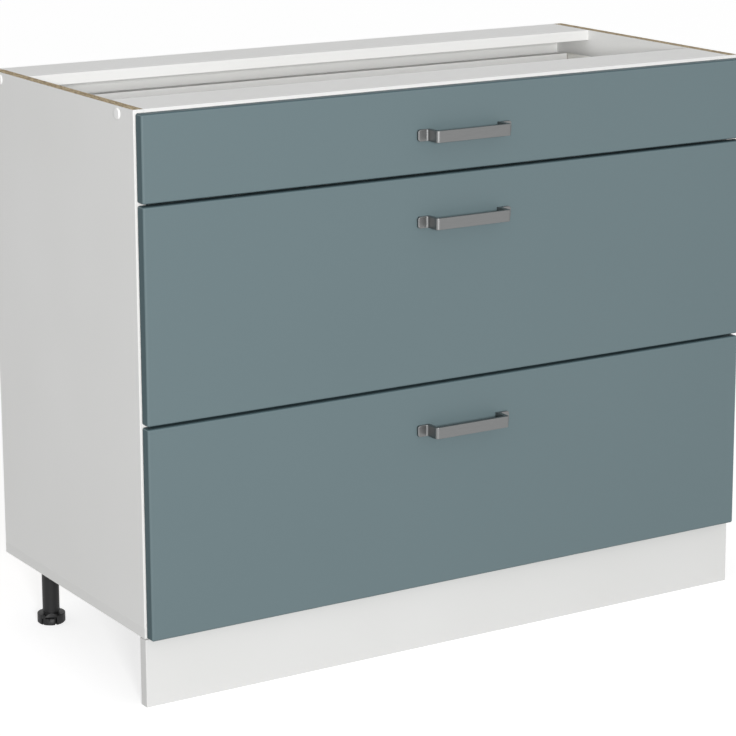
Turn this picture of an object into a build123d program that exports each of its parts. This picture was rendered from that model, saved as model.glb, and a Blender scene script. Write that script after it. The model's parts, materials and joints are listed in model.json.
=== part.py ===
from build123d import *
import os

# Base cabinet with one shallow and two deep drawers, in millimetres.
# x is right, the fronts face -y and z is up. The origin is on the floor, at the
# centre of the footprint, which runs from the handles to the back edge.

# ---- driving dimensions: carcass ----
cabinet_width = 1000
carcass_depth = 450
carcass_height = 720
leg_height = 97  # floor to the underside of the carcass
board = 16  # coated chipboard
edge_round = 1  # rounding of the edge band on the front edges
joint_round = 0.4  # edge where the bottom panel's ends meet the side panels
traverse_width = 96

back_board = 3  # hardboard back, held in grooves
back_inset = 9  # back edge of the carcass to the rear face of the back panel
groove_depth = 7
groove_play = 0.1  # each side of the back panel
groove_end_play = 1  # edge of the back panel to the bottom of its groove

plinth_gap = 1  # top of the plinth to the carcass
plinth_proud = 2  # plinth face ahead of the carcass front edges

# ---- driving dimensions: fronts and handles ----
front_board = 16
front_stand_off = 3  # carcass front edge to the back of a front
front_side_reveal = 2
front_top_reveal = 4
front_bottom_reveal = 1
front_gap = 3.5
shallow_front = 118  # height of the top front
front_edge_round = 3

handle_reach = 28  # front face to the outside of the bar
handle_bow = 124  # over the two arms
handle_foot = 15.5  # foot, beyond the arm
handle_foot_thickness = 4.5
handle_height = 16.5
handle_bar = 5
handle_arm = 6
handle_outer_round = 5
handle_inner_round = 2
handle_root_round = 3  # between an arm and its foot
handle_foot_round = 1.5
handle_corner_round = 4  # corners of a foot, seen from the front
handle_edge_round = 0.8
handle_drop = 64  # top of the front to the handle's centre line
handle_hole_spacing = 128

# ---- driving dimensions: drawer boxes ----
drawer_start = 2  # carcass front edge to the front end of a drawer side
behind_drawer = 36  # rear end of a drawer side to the back panel
side_gap = 16  # side panel to the outer face of a drawer side, room for the runner
side_height = 75
sheet = 1  # steel of the drawer sides and rails
bend_radius = 2  # outside of its bends
roll_width = 8  # rolled top edge of a drawer side
roll_depth = 9
ledge_width = 25  # inward ledge that carries the drawer bottom
ear_width = 22  # rear ear that holds the back board
ear_margin = 6  # ear to the drawer bottom and to the top of the side
deep_back = 150  # height of the back board of a deep drawer
shallow_lift = 8  # bottom of the shallow front to the underside of its drawer
deep_lift = 24
bottom_play = 0.3  # drawer bottom and back to the bends of the sides, and to the front
bracket_sheet = 2
bracket_width = 24
bracket_reach = 36
bracket_margin = 4  # bracket to the drawer bottom and to the top of the side
rod_diameter = 10
rod_play = 0.1
rod_inset = 14  # rod's centre line to the inner face of the drawer side
rod_rise = 135  # drawer underside to the rod's centre line
cup_wall = 3
cup_length = 14
cup_floor = 3

# ---- driving dimensions: runners ----
roller_diameter = 22
roller_width = 7
roller_round = 0.8
axle_diameter = 6
axle_play = 0.05
axle_shoulder = 9
axle_head_thickness = 0.8
roller_end_play = 0.3  # roller to its shoulder and to the head of its axle
roller_web_gap = 3  # roller to the web of the rail
roller_inset = 14  # end of the rail or drawer side to the roller's axle
rail_depth = 13
rail_lip = 3
rail_drop = 3  # drawer underside to the underside of its rail
rail_start = 3  # carcass front edge to the rail, and drawer side to the rail's end
running_play = 0.3  # rollers to the faces that they run on
running_flange = 1.2
flange_play = 1  # running flange to the top flange of the rail
flange_web_gap = 2.5  # running flange to the web of the rail
rail_mouth = 40  # top flange cut away at the front, where the drawer's roller drops in

# ---- driving dimensions: legs ----
leg_side_inset = 40  # side of the carcass to the leg's axis
leg_front_inset = 45
leg_back_inset = 65
leg_tube = 25
leg_plate = 56
leg_plate_thickness = 4
leg_plate_corner = 8
leg_plate_holes = 42  # spacing of the four screws
leg_collar = 34
leg_collar_height = 12
leg_rib = 2.5
foot_diameter = 41
foot_ring = 10
foot_lobe_height = 5
foot_lobe_count = 2
foot_recess = 17.5  # width of a recess between two lobes
foot_slot_count = 6
foot_slot_width = 3
foot_slot_wall = 3  # hub to the bottom of a slot
foot_edge_chamfer = 1.8
foot_lobe_round = 1
foot_turn = 245  # direction of a wide recess, degrees
foot_slot_turn = 25
foot_hub = 23
foot_hub_height = 2
foot_gap = 0.3  # hub of the foot to the end of the leg tube
spindle_diameter = 18
spindle_length = 45
spindle_play = 0.1

# ---- driving dimensions: plinth clips ----
clip_base = 3
clip_height = 30
clip_width = 36
clip_wall = 3
clip_play = 0.1
clip_mouth = 18  # opening of the C, less than the tube it snaps over
clip_screw_spacing = 24

# ---- driving dimensions: fixings ----
confirmat_shank = 7
confirmat_head = 10
confirmat_head_height = 3
confirmat_length = 50
confirmat_socket = 4  # across flats
hole_play = 0.1  # radial, of screws and dowels in their holes
hole_spare = 1  # depth of a blind hole beyond its screw
cap_diameter = 15.5
cap_thickness = 2.2
cap_round = 1.5
cap_stem = 3.6
cap_stem_length = 2.5
cap_drop = 10.5  # top of the carcass to the axis of the traverse screws
cap_front_inset = 45
cap_back_inset = 35
dowel_diameter = 8
dowel_length = 30
dowel_in_face = 10  # depth of a dowel in the face of a board
dowel_offset = 32  # screw to the dowel beside it
rail_screw_head = 9
rail_screw_head_height = 1
rail_screw_shank = 5
rail_screw_length = 12
rail_screw_inset = 64  # ends of a rail to its screws
small_head = 7
small_head_height = 1.6
small_shank = 3.5
small_length = 12
handle_screw_head = 8
handle_screw_head_height = 2.2
handle_screw_shank = 4
handle_screw_bite = 3
rivet_head = 7
rivet_head_height = 1
rivet_shank = 4
rivet_tail = 6
rivet_tail_height = 0.8

# ---- planes and levels that follow from them ----
half_width = cabinet_width / 2
inner_half = half_width - board
panel_mid = half_width - board / 2
full_depth = handle_reach + front_board + front_stand_off + carcass_depth
carcass_back = full_depth / 2
carcass_front = carcass_back - carcass_depth
carcass_mid = (carcass_front + carcass_back) / 2
carcass_bottom = leg_height
carcass_top = carcass_bottom + carcass_height
floor_top = carcass_bottom + board
back_face = carcass_back - back_inset - back_board
back_mid = back_face + back_board / 2
groove_width = back_board + 2 * groove_play

front_back_face = carcass_front - front_stand_off
front_face = front_back_face - front_board
front_width = cabinet_width - 2 * front_side_reveal
deep_front = (
    carcass_height - front_top_reveal - front_bottom_reveal - shallow_front - 2 * front_gap
) / 2
front_heights = (shallow_front, deep_front, deep_front)
front_tops = (
    carcass_top - front_top_reveal,
    carcass_top - front_top_reveal - shallow_front - front_gap,
    carcass_top - front_top_reveal - shallow_front - deep_front - 2 * front_gap,
)
lifts = (shallow_lift, deep_lift, deep_lift)
box_bottoms = tuple(top - high + lift for top, high, lift in zip(front_tops, front_heights, lifts))
shallow_back = side_height - sheet - board
back_heights = (shallow_back, deep_back, deep_back)

side_front_end = carcass_front + drawer_start
side_rear_end = back_face - behind_drawer
wall_outer = inner_half - side_gap
wall_inner = wall_outer - sheet
base_half = wall_inner - (bend_radius - sheet) - bottom_play
back_rear_face = side_rear_end - sheet
back_front_face = back_rear_face - board

rail_bottoms = tuple(z - rail_drop for z in box_bottoms)
roller_rise = sheet + running_play + roller_diameter / 2
flange_rise = roller_rise + roller_diameter / 2 + running_play
rail_height = flange_rise + running_flange + flange_play + sheet
rail_front_end = carcass_front + rail_start
rail_rear_end = side_rear_end + rail_start
rail_screw_ys = (rail_front_end + rail_screw_inset, rail_rear_end - rail_screw_inset)
web_face = inner_half - sheet
roller_outer = web_face - roller_web_gap
roller_inner = roller_outer - roller_width
roller_mid = (roller_outer + roller_inner) / 2
cabinet_roller_y = rail_front_end + roller_inset
drawer_roller_y = side_rear_end - roller_inset

leg_x = half_width - leg_side_inset
leg_ys = (carcass_front + leg_front_inset, carcass_back - leg_back_inset)
foot_slot_depth = (foot_diameter - foot_hub) / 2 - foot_slot_wall
foot_height = foot_ring + foot_lobe_height
hub_top = foot_height + foot_hub_height
tube_end = hub_top + foot_gap
plinth_face = carcass_front - plinth_proud
plinth_back = plinth_face + board
plinth_top = carcass_bottom - plinth_gap

cap_z = carcass_top - cap_drop
cap_ys = (carcass_front + cap_front_inset, carcass_back - cap_back_inset)
dowel_ys = (cap_ys[0] + dowel_offset, cap_ys[1] - dowel_offset)
bottom_screw_ys = (cap_ys[0], carcass_mid, cap_ys[1])
confirmat_bite = confirmat_length - board
dowel_in_end = dowel_length - dowel_in_face
confirmat_hole = confirmat_shank / 2 + hole_play
dowel_hole = dowel_diameter / 2 + hole_play
small_hole = small_shank / 2 + hole_play
handle_hole = handle_screw_shank / 2 + hole_play
sides = (-1, 1)  # left and right

os.makedirs("parts", exist_ok=True)


def save(piece, name):
    piece.part.label = name
    export_step(piece.part, f"parts/{name}.step")


def facing(x, y, z, normal):
    """Plane at a point of a face: holes are drilled, and screws driven, against its normal."""
    return Plane(origin=(x, y, z), z_dir=normal)


def board_block(x_size, y_size, z_size, x, y, z):
    """Solid of a board, from the centre of its underside."""
    with Locations((x, y, z)):
        Box(x_size, y_size, z_size, align=(Align.CENTER, Align.CENTER, Align.MIN))


def screw(head_diameter, head_height, shank_diameter, length):
    """Screw that points down, with the underside of its head at z = 0."""
    with BuildPart() as piece:
        Cylinder(head_diameter / 2, head_height, align=(Align.CENTER, Align.CENTER, Align.MIN))
        Cylinder(shank_diameter / 2, length, align=(Align.CENTER, Align.CENTER, Align.MAX))
    return piece.part


def save_group(name, piece, spots):
    """Copies of one piece at each plane, as the separate solids of one node."""
    with BuildPart() as group:
        with Locations(*spots):
            add(piece)
    save(group, name)


# ---- where the carcass fixings go ----
leg_spots = [(sx * leg_x, y) for sx in sides for y in leg_ys]
half_holes = leg_plate_holes / 2
leg_screw_spots = [
    (x + dx * half_holes, y + dy * half_holes) for x, y in leg_spots for dx in sides for dy in sides
]
clip_screw_spots = [
    (sx * leg_x + dx * clip_screw_spacing / 2, plinth_top / 2) for sx in sides for dx in sides
]

# ---- side panels: stand on the bottom panel, their top edges are bare chipboard ----
for name, sx in (("side_panel_left", -1), ("side_panel_right", 1)):
    inner = sx * inner_half
    with BuildPart() as side_panel:
        board_block(board, carcass_depth, carcass_top - floor_top, sx * panel_mid, carcass_mid, floor_top)
        fillet(side_panel.edges().filter_by(Axis.Z).group_by(Axis.Y)[0], radius=edge_round)
        with BuildSketch(Plane.XY.offset(floor_top)):
            with Locations((inner + sx * groove_depth / 2, back_mid)):
                Rectangle(groove_depth, groove_width)
        extrude(amount=carcass_top - floor_top, mode=Mode.SUBTRACT)
        with Locations(*[facing(sx * half_width, y, cap_z, (sx, 0, 0)) for y in cap_ys]):
            CounterBoreHole(confirmat_hole, confirmat_head / 2 + hole_play, confirmat_head_height)
        with Locations(*[facing(inner, y, cap_z, (-sx, 0, 0)) for y in dowel_ys]):
            Hole(dowel_hole, dowel_in_face)
        with Locations(*[facing(sx * panel_mid, y, floor_top, (0, 0, -1)) for y in bottom_screw_ys]):
            Hole(confirmat_hole, confirmat_bite)
        with Locations(*[facing(sx * panel_mid, y, floor_top, (0, 0, -1)) for y in dowel_ys]):
            Hole(dowel_hole, dowel_in_end)
        with Locations(
            *[
                facing(inner, y, z + roller_rise, (-sx, 0, 0))
                for z in rail_bottoms
                for y in rail_screw_ys
            ]
        ):
            Hole(rail_screw_shank / 2 + hole_play, rail_screw_length)
    save(side_panel, name)

# ---- bottom panel: runs through under the side panels ----
with BuildPart() as bottom_panel:
    board_block(cabinet_width, carcass_depth, board, 0, carcass_mid, carcass_bottom)
    fillet(bottom_panel.edges().filter_by(Axis.X).group_by(Axis.Y)[0], radius=edge_round)
    fillet(bottom_panel.edges().filter_by(Axis.Y).group_by(Axis.Z)[-1], radius=joint_round)
    with BuildSketch(Plane.XY.offset(floor_top - groove_depth)):
        with Locations((0, back_mid)):
            Rectangle(2 * (inner_half + groove_depth), groove_width)
    extrude(amount=groove_depth, mode=Mode.SUBTRACT)
    with Locations(
        *[facing(sx * panel_mid, y, carcass_bottom, (0, 0, -1)) for sx in sides for y in bottom_screw_ys]
    ):
        CounterBoreHole(confirmat_hole, confirmat_head / 2 + hole_play, confirmat_head_height)
    with Locations(*[facing(sx * panel_mid, y, floor_top, (0, 0, 1)) for sx in sides for y in dowel_ys]):
        Hole(dowel_hole, dowel_in_face)
    with Locations(*[facing(x, y, carcass_bottom, (0, 0, -1)) for x, y in leg_screw_spots]):
        Hole(small_hole, small_length - leg_plate_thickness + hole_spare)
save(bottom_panel, "bottom_panel")

# ---- traverses: two flat boards between the side panels, which carry the worktop ----
for name, middle, screw_y, dowel_y in (
    ("front_traverse", carcass_front + traverse_width / 2, cap_ys[0], dowel_ys[0]),
    ("rear_traverse", carcass_back - traverse_width / 2, cap_ys[1], dowel_ys[1]),
):
    with BuildPart() as traverse:
        board_block(2 * inner_half, traverse_width, board, 0, middle, carcass_top - board)
        fillet(traverse.edges().filter_by(Axis.X).group_by(Axis.Y)[0], radius=edge_round)
        if name == "rear_traverse":
            with BuildSketch(Plane.XY.offset(carcass_top - board)):
                with Locations((0, back_mid)):
                    Rectangle(2 * inner_half, groove_width)
            extrude(amount=groove_depth, mode=Mode.SUBTRACT)
        with Locations(*[facing(sx * inner_half, screw_y, cap_z, (sx, 0, 0)) for sx in sides]):
            Hole(confirmat_hole, confirmat_bite)
        with Locations(*[facing(sx * inner_half, dowel_y, cap_z, (sx, 0, 0)) for sx in sides]):
            Hole(dowel_hole, dowel_in_end)
    save(traverse, name)

# ---- back panel: thin hardboard in the grooves of the sides, bottom and rear traverse ----
back_reach = groove_depth - groove_end_play
with BuildPart() as back_panel:
    board_block(
        2 * (inner_half + back_reach),
        back_board,
        carcass_top - board - floor_top + 2 * back_reach,
        0,
        back_mid,
        floor_top - back_reach,
    )
save(back_panel, "back_panel")

# ---- plinth: a coated board on the floor, clipped to the two front legs ----
with BuildPart() as plinth_panel:
    board_block(cabinet_width, board, plinth_top, 0, plinth_face + board / 2, 0)
    fillet(plinth_panel.edges().filter_by(Axis.Z).group_by(Axis.Y)[0], radius=edge_round)
    with Locations(*[facing(x, plinth_back, z, (0, 1, 0)) for x, z in clip_screw_spots]):
        Hole(small_hole, small_length - clip_base + hole_spare)
save(plinth_panel, "plinth_panel")

# ---- plinth clips: a base on the plinth, an arm, and a C that snaps round the leg ----
clip_inner = leg_tube / 2 + clip_play
clip_outer = clip_inner + clip_wall
with BuildPart() as plinth_clips:
    for sx in sides:
        with BuildSketch(Plane.XY.offset((plinth_top - clip_height) / 2)):
            with Locations((sx * leg_x, leg_ys[0])):
                Circle(clip_outer)
            with Locations((sx * leg_x, (plinth_back + leg_ys[0]) / 2)):
                Rectangle(2 * clip_wall, leg_ys[0] - plinth_back)
            with Locations((sx * leg_x, plinth_back + clip_base / 2)):
                Rectangle(clip_width, clip_base)
            with Locations((sx * leg_x, leg_ys[0])):
                Circle(clip_inner, mode=Mode.SUBTRACT)
            with Locations((sx * leg_x, leg_ys[0] + clip_outer)):
                Rectangle(clip_mouth, clip_outer, mode=Mode.SUBTRACT)
        extrude(amount=clip_height)
    with Locations(*[facing(x, plinth_back + clip_base, z, (0, 1, 0)) for x, z in clip_screw_spots]):
        Hole(small_hole, clip_base)
save(plinth_clips, "plinth_clips")

# ---- legs: screw plate, ribbed collar and tube in one moulding, bored for the foot's spindle ----
plate_bottom = carcass_bottom - leg_plate_thickness
collar_bottom = plate_bottom - leg_collar_height
with BuildPart() as legs:
    for x, y in leg_spots:
        with BuildSketch(Plane.XY.offset(plate_bottom)):
            with Locations((x, y)):
                RectangleRounded(leg_plate, leg_plate, leg_plate_corner)
        extrude(amount=leg_plate_thickness)
        with BuildSketch(Plane.XY.offset(collar_bottom)):
            with Locations((x, y)):
                Circle(leg_collar / 2)
        extrude(amount=leg_collar_height)
        for along, across in (((1, 0, 0), (0, -1, 0)), ((0, 1, 0), (1, 0, 0))):
            with BuildSketch(Plane(origin=(x, y, plate_bottom), x_dir=along, z_dir=across)):
                with BuildLine():
                    Polyline(
                        (-leg_plate / 2, 0),
                        (leg_plate / 2, 0),
                        (leg_collar / 2, -leg_collar_height),
                        (-leg_collar / 2, -leg_collar_height),
                        close=True,
                    )
                make_face()
            extrude(amount=leg_rib / 2, both=True)
        with BuildSketch(Plane.XY.offset(tube_end)):
            with Locations((x, y)):
                Circle(leg_tube / 2)
        extrude(amount=collar_bottom - tube_end)
        with Locations(facing(x, y, tube_end, (0, 0, -1))):
            Hole(spindle_diameter / 2 + spindle_play, spindle_length - foot_gap + hole_spare)
    with Locations(*[facing(x, y, plate_bottom, (0, 0, -1)) for x, y in leg_screw_spots]):
        Hole(small_hole, leg_plate_thickness)
save(legs, "legs")

# ---- feet: a grip wheel that stands on the floor, with the spindle that screws into the leg ----
with BuildPart() as foot_blank:
    Cylinder(foot_diameter / 2, foot_height, align=(Align.CENTER, Align.CENTER, Align.MIN))
    fillet(foot_blank.edges().group_by(Axis.Z)[-1], radius=foot_lobe_round)
    chamfer(foot_blank.edges().group_by(Axis.Z)[0], length=foot_edge_chamfer)
    with BuildSketch():
        with PolarLocations(foot_diameter / 2, foot_slot_count, start_angle=foot_slot_turn):
            Rectangle(2 * foot_slot_depth, foot_slot_width)
    extrude(amount=foot_ring, mode=Mode.SUBTRACT)
    with BuildSketch(Plane.XY.offset(foot_ring)):
        with PolarLocations(foot_diameter / 2, foot_lobe_count, start_angle=foot_turn):
            Rectangle(foot_diameter - foot_hub, foot_recess)
    extrude(amount=foot_lobe_height, mode=Mode.SUBTRACT)
    with BuildSketch(Plane.XY.offset(foot_ring)):
        Circle(foot_hub / 2)
    extrude(amount=hub_top - foot_ring)
    with BuildSketch(Plane.XY.offset(hub_top)):
        Circle(spindle_diameter / 2)
    extrude(amount=spindle_length)
for name, (x, y) in zip(
    ("foot_front_left", "foot_rear_left", "foot_front_right", "foot_rear_right"), leg_spots
):
    save_group(name, foot_blank.part, [Location((x, y, 0))])

# ---- carcass fixings ----
confirmat_shaft = confirmat_length - confirmat_head_height
confirmat_blank = screw(confirmat_head, confirmat_head_height, confirmat_shank, confirmat_shaft)
with BuildPart() as confirmat:
    add(confirmat_blank)
    with BuildSketch(Plane.XY.offset(confirmat_head_height)):
        RegularPolygon(confirmat_socket / 2, 6, major_radius=False)
    extrude(amount=-confirmat_head_height, mode=Mode.SUBTRACT)
head_inset = half_width - confirmat_head_height
save_group(
    "carcass_screws",
    confirmat.part,
    [facing(sx * head_inset, y, cap_z, (sx, 0, 0)) for sx in sides for y in cap_ys]
    + [
        facing(sx * panel_mid, y, carcass_bottom + confirmat_head_height, (0, 0, -1))
        for sx in sides
        for y in bottom_screw_ys
    ],
)

with BuildPart() as dowel:
    Cylinder(dowel_diameter / 2, dowel_length)
dowel_middle = dowel_length / 2 - dowel_in_face
save_group(
    "dowels",
    dowel.part,
    [facing(sx * (inner_half - dowel_middle), y, cap_z, (1, 0, 0)) for sx in sides for y in dowel_ys]
    + [
        facing(sx * panel_mid, y, floor_top + dowel_middle, (0, 0, 1))
        for sx in sides
        for y in dowel_ys
    ],
)

with BuildPart() as cap:
    Cylinder(cap_diameter / 2, cap_thickness, align=(Align.CENTER, Align.CENTER, Align.MIN))
    fillet(cap.edges().group_by(Axis.Z)[-1], radius=cap_round)
    Cylinder(cap_stem / 2, cap_stem_length, align=(Align.CENTER, Align.CENTER, Align.MAX))
save_group(
    "cover_caps",
    cap.part,
    [facing(sx * half_width, y, cap_z, (sx, 0, 0)) for sx in sides for y in cap_ys],
)

small_screw = screw(small_head, small_head_height, small_shank, small_length)
save_group(
    "leg_screws",
    small_screw,
    [facing(x, y, plate_bottom, (0, 0, -1)) for x, y in leg_screw_spots]
    + [facing(x, plinth_back + clip_base, z, (0, 1, 0)) for x, z in clip_screw_spots],
)

# ---- cabinet rails: steel channels on the side panels, each with its roller's axle at the front ----
for number, rail_bottom in enumerate(rail_bottoms, start=1):
    axle_z = rail_bottom + roller_rise
    with BuildPart() as rail_right:
        with BuildSketch(Plane.XZ.offset(-rail_rear_end)):
            with BuildLine():
                FilletPolyline(
                    (inner_half - rail_depth, rail_bottom + rail_lip),
                    (inner_half - rail_depth, rail_bottom),
                    (inner_half, rail_bottom),
                    (inner_half, rail_bottom + rail_height),
                    (inner_half - rail_depth, rail_bottom + rail_height),
                    radius=bend_radius,
                )
                offset(amount=sheet, side=Side.LEFT)
            make_face()
        extrude(amount=rail_rear_end - rail_front_end)
        with BuildSketch(Plane.XY.offset(rail_bottom + rail_height)):
            with Locations((inner_half - bend_radius, rail_front_end)):
                Rectangle(rail_depth, rail_mouth, align=(Align.MAX, Align.MIN))
        extrude(amount=-bend_radius, mode=Mode.SUBTRACT)
        with BuildSketch(Plane.YZ.offset(web_face - roller_web_gap + roller_end_play)):
            with Locations((cabinet_roller_y, axle_z)):
                Circle(axle_shoulder / 2)
        extrude(amount=roller_web_gap - roller_end_play)
        with BuildSketch(Plane.YZ.offset(roller_inner - roller_end_play)):
            with Locations((cabinet_roller_y, axle_z)):
                Circle(axle_diameter / 2)
        extrude(amount=roller_width + 2 * roller_end_play)
        with BuildSketch(Plane.YZ.offset(roller_inner - roller_end_play)):
            with Locations((cabinet_roller_y, axle_z)):
                Circle(axle_shoulder / 2)
        extrude(amount=-axle_head_thickness)
        with Locations(*[facing(web_face, y, axle_z, (-1, 0, 0)) for y in rail_screw_ys]):
            Hole(rail_screw_shank / 2 + hole_play, sheet)
    save(rail_right, f"cabinet_rail_right_{number}")
    with BuildPart() as rail_left:
        mirror(rail_right.part, about=Plane.YZ)
    save(rail_left, f"cabinet_rail_left_{number}")

save_group(
    "rail_screws",
    screw(rail_screw_head, rail_screw_head_height, rail_screw_shank, rail_screw_length),
    [
        facing(sx * web_face, y, z + roller_rise, (-sx, 0, 0))
        for sx in sides
        for z in rail_bottoms
        for y in rail_screw_ys
    ],
)

# ---- rollers: one pair on the cabinet rails and one on the drawer sides, for each drawer ----
with BuildPart() as roller:
    Cylinder(roller_diameter / 2, roller_width)
    fillet(roller.edges(), radius=roller_round)
    Hole(axle_diameter / 2 + axle_play)
for number, rail_bottom in enumerate(rail_bottoms, start=1):
    for name, y in (("cabinet_rollers", cabinet_roller_y), ("drawer_rollers", drawer_roller_y)):
        save_group(
            f"{name}_{number}",
            roller.part,
            [facing(sx * roller_mid, y, rail_bottom + roller_rise, (1, 0, 0)) for sx in sides],
        )

# ---- drawers: what the three have in common ----
half_bow = handle_bow / 2
half_handle = half_bow + handle_foot
arm_inner = half_bow - handle_arm
front_mid = (front_face + front_back_face) / 2
base_front_end = front_back_face + bottom_play
base_length = back_rear_face - base_front_end
base_middle = (back_rear_face + base_front_end) / 2
back_middle = (back_front_face + back_rear_face) / 2
bracket_bend = bend_radius + sheet  # outside of its bend
plate_face = front_back_face + bracket_sheet
bracket_x = wall_inner - bracket_width / 2
rivet_y = front_back_face + bracket_reach - small_head
ear_x = wall_inner - ear_width / 2
ledge_x = wall_inner - ledge_width / 2
ledge_ys = (side_front_end + ledge_width, side_rear_end - ledge_width)
flange_width = web_face - flange_web_gap - wall_outer
rivet_hole = rivet_shank / 2 + hole_play
rod_x = wall_inner - rod_inset
cup_bore = rod_diameter / 2 + rod_play
cup_faces = ((front_back_face, 1), (back_front_face, -1))
handle_screw = screw(
    handle_screw_head,
    handle_screw_head_height,
    handle_screw_shank,
    front_board + handle_screw_bite,
)
rivet_blank = screw(rivet_head, rivet_head_height, rivet_shank, bracket_sheet + sheet)
with BuildPart() as rivet:
    add(rivet_blank)
    with BuildSketch(Plane.XY.offset(-bracket_sheet - sheet)):
        Circle(rivet_tail / 2)
    extrude(amount=-rivet_tail_height)

for number in (1, 2, 3):
    front_top = front_tops[number - 1]
    front_height = front_heights[number - 1]
    box_bottom = box_bottoms[number - 1]
    rail_bottom = rail_bottoms[number - 1]
    base_bottom = box_bottom + sheet
    base_top = base_bottom + board
    side_top = box_bottom + side_height
    axle_z = rail_bottom + roller_rise
    handle_z = front_top - handle_drop
    bracket_bottom = base_top + bracket_margin
    bracket_top = side_top - roll_depth - bracket_margin
    bracket_zs = (bracket_bottom + small_head, bracket_top - small_head)
    ear_bottom = base_top + ear_margin
    ear_top = side_top - ear_margin
    ear_zs = (ear_bottom + small_head, ear_top - small_head)
    handle_spots = [
        facing(sx * handle_hole_spacing / 2, front_back_face, handle_z, (0, 1, 0)) for sx in sides
    ]
    plate_screw_spots = [(sx * bracket_x, z) for sx in sides for z in bracket_zs]
    ear_screw_spots = [(sx * ear_x, z) for sx in sides for z in ear_zs]
    ledge_screw_spots = [
        facing(sx * ledge_x, y, box_bottom, (0, 0, -1)) for sx in sides for y in ledge_ys
    ]

    # ---- drawer front: foil-wrapped board, its face edges and corners rounded ----
    with BuildPart() as drawer_front:
        board_block(front_width, front_board, front_height, 0, front_mid, front_top - front_height)
        fillet(drawer_front.edges().filter_by(Axis.Y), radius=front_edge_round)
        fillet(drawer_front.edges().group_by(Axis.Y)[0], radius=front_edge_round)
        with Locations(*handle_spots):
            Hole(handle_hole, front_board)
        with Locations(*[facing(x, front_back_face, z, (0, 1, 0)) for x, z in plate_screw_spots]):
            Hole(small_hole, small_length - bracket_sheet + hole_spare)
    save(drawer_front, f"drawer_front_{number}")

    # ---- handle: cast bow on two flat feet, drawn in plan and as thick as it is high ----
    plan = Plane(origin=(0, front_face, handle_z + handle_height / 2), x_dir=(1, 0, 0), z_dir=(0, 0, -1))
    with BuildPart() as handle:
        with BuildSketch(plan):
            with BuildLine():
                FilletPolyline(
                    (half_handle, 0),
                    (half_handle, handle_foot_thickness),
                    (half_bow, handle_foot_thickness),
                    (half_bow, handle_reach),
                    (-half_bow, handle_reach),
                    (-half_bow, handle_foot_thickness),
                    (-half_handle, handle_foot_thickness),
                    (-half_handle, 0),
                    radius=(
                        handle_foot_round,
                        handle_root_round,
                        handle_outer_round,
                        handle_outer_round,
                        handle_root_round,
                        handle_foot_round,
                    ),
                )
                Line((-half_handle, 0), (-arm_inner, 0))
                FilletPolyline(
                    (-arm_inner, 0),
                    (-arm_inner, handle_reach - handle_bar),
                    (arm_inner, handle_reach - handle_bar),
                    (arm_inner, 0),
                    radius=handle_inner_round,
                )
                Line((arm_inner, 0), (half_handle, 0))
            make_face()
        extrude(amount=handle_height)
        with BuildSketch(Plane.XZ.offset(-front_face)):
            with Locations((0, handle_z)):
                RectangleRounded(2 * half_handle, handle_height, handle_corner_round)
        extrude(amount=handle_reach, mode=Mode.INTERSECT)
        rims = handle.edges().group_by(Axis.Z)
        fillet(rims[0] + rims[-1], radius=handle_edge_round)
        with Locations(*handle_spots):
            Hole(handle_hole, front_board + handle_screw_bite + hole_spare)
    save(handle, f"handle_{number}")
    save_group(f"handle_screws_{number}", handle_screw, handle_spots)

    # ---- drawer sides: one folded steel profile with the running flange, ear and rear axle ----
    with BuildPart() as side_right:
        with BuildSketch(Plane.XZ.offset(-side_rear_end)):
            with BuildLine():
                FilletPolyline(
                    (wall_inner - ledge_width, box_bottom),
                    (wall_outer, box_bottom),
                    (wall_outer, side_top - sheet),
                    (wall_inner + roll_width - sheet, side_top - sheet),
                    (wall_inner + roll_width - sheet, side_top - roll_depth),
                    radius=bend_radius,
                )
                offset(amount=sheet, side=Side.LEFT)
            make_face()
            with Locations((wall_outer, rail_bottom + flange_rise)):
                Rectangle(flange_width, running_flange, align=(Align.MIN, Align.MIN))
        extrude(amount=side_rear_end - side_front_end)
        with BuildSketch(Plane.XZ.offset(-side_rear_end)):
            with Locations((wall_outer, ear_bottom)):
                Rectangle(ear_width + sheet, ear_top - ear_bottom, align=(Align.MAX, Align.MIN))
        extrude(amount=sheet)
        with BuildSketch(Plane.YZ.offset(wall_outer)):
            with Locations((drawer_roller_y, axle_z)):
                Circle(axle_shoulder / 2)
        extrude(amount=roller_inner - roller_end_play - wall_outer)
        with BuildSketch(Plane.YZ.offset(roller_inner - roller_end_play)):
            with Locations((drawer_roller_y, axle_z)):
                Circle(axle_diameter / 2)
        extrude(amount=roller_width + 2 * roller_end_play)
        with BuildSketch(Plane.YZ.offset(roller_outer + roller_end_play)):
            with Locations((drawer_roller_y, axle_z)):
                Circle(axle_shoulder / 2)
        extrude(amount=axle_head_thickness)
        with Locations(*[facing(ear_x, side_rear_end, z, (0, 1, 0)) for z in ear_zs]):
            Hole(small_hole, sheet)
        with Locations(*[facing(ledge_x, y, box_bottom, (0, 0, -1)) for y in ledge_ys]):
            Hole(small_hole, sheet)
        with Locations(*[facing(wall_inner, rivet_y, z, (-1, 0, 0)) for z in bracket_zs]):
            Hole(rivet_hole, sheet)
    save(side_right, f"drawer_side_right_{number}")
    with BuildPart() as side_left:
        mirror(side_right.part, about=Plane.YZ)
    save(side_left, f"drawer_side_left_{number}")

    # ---- drawer bottom: lies on the two ledges and carries the back board ----
    with BuildPart() as drawer_bottom:
        board_block(2 * base_half, base_length, board, 0, base_middle, base_bottom)
        with Locations(*[spot.offset(-sheet) for spot in ledge_screw_spots]):
            Hole(small_hole, small_length - sheet + hole_spare)
    save(drawer_bottom, f"drawer_bottom_{number}")

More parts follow.
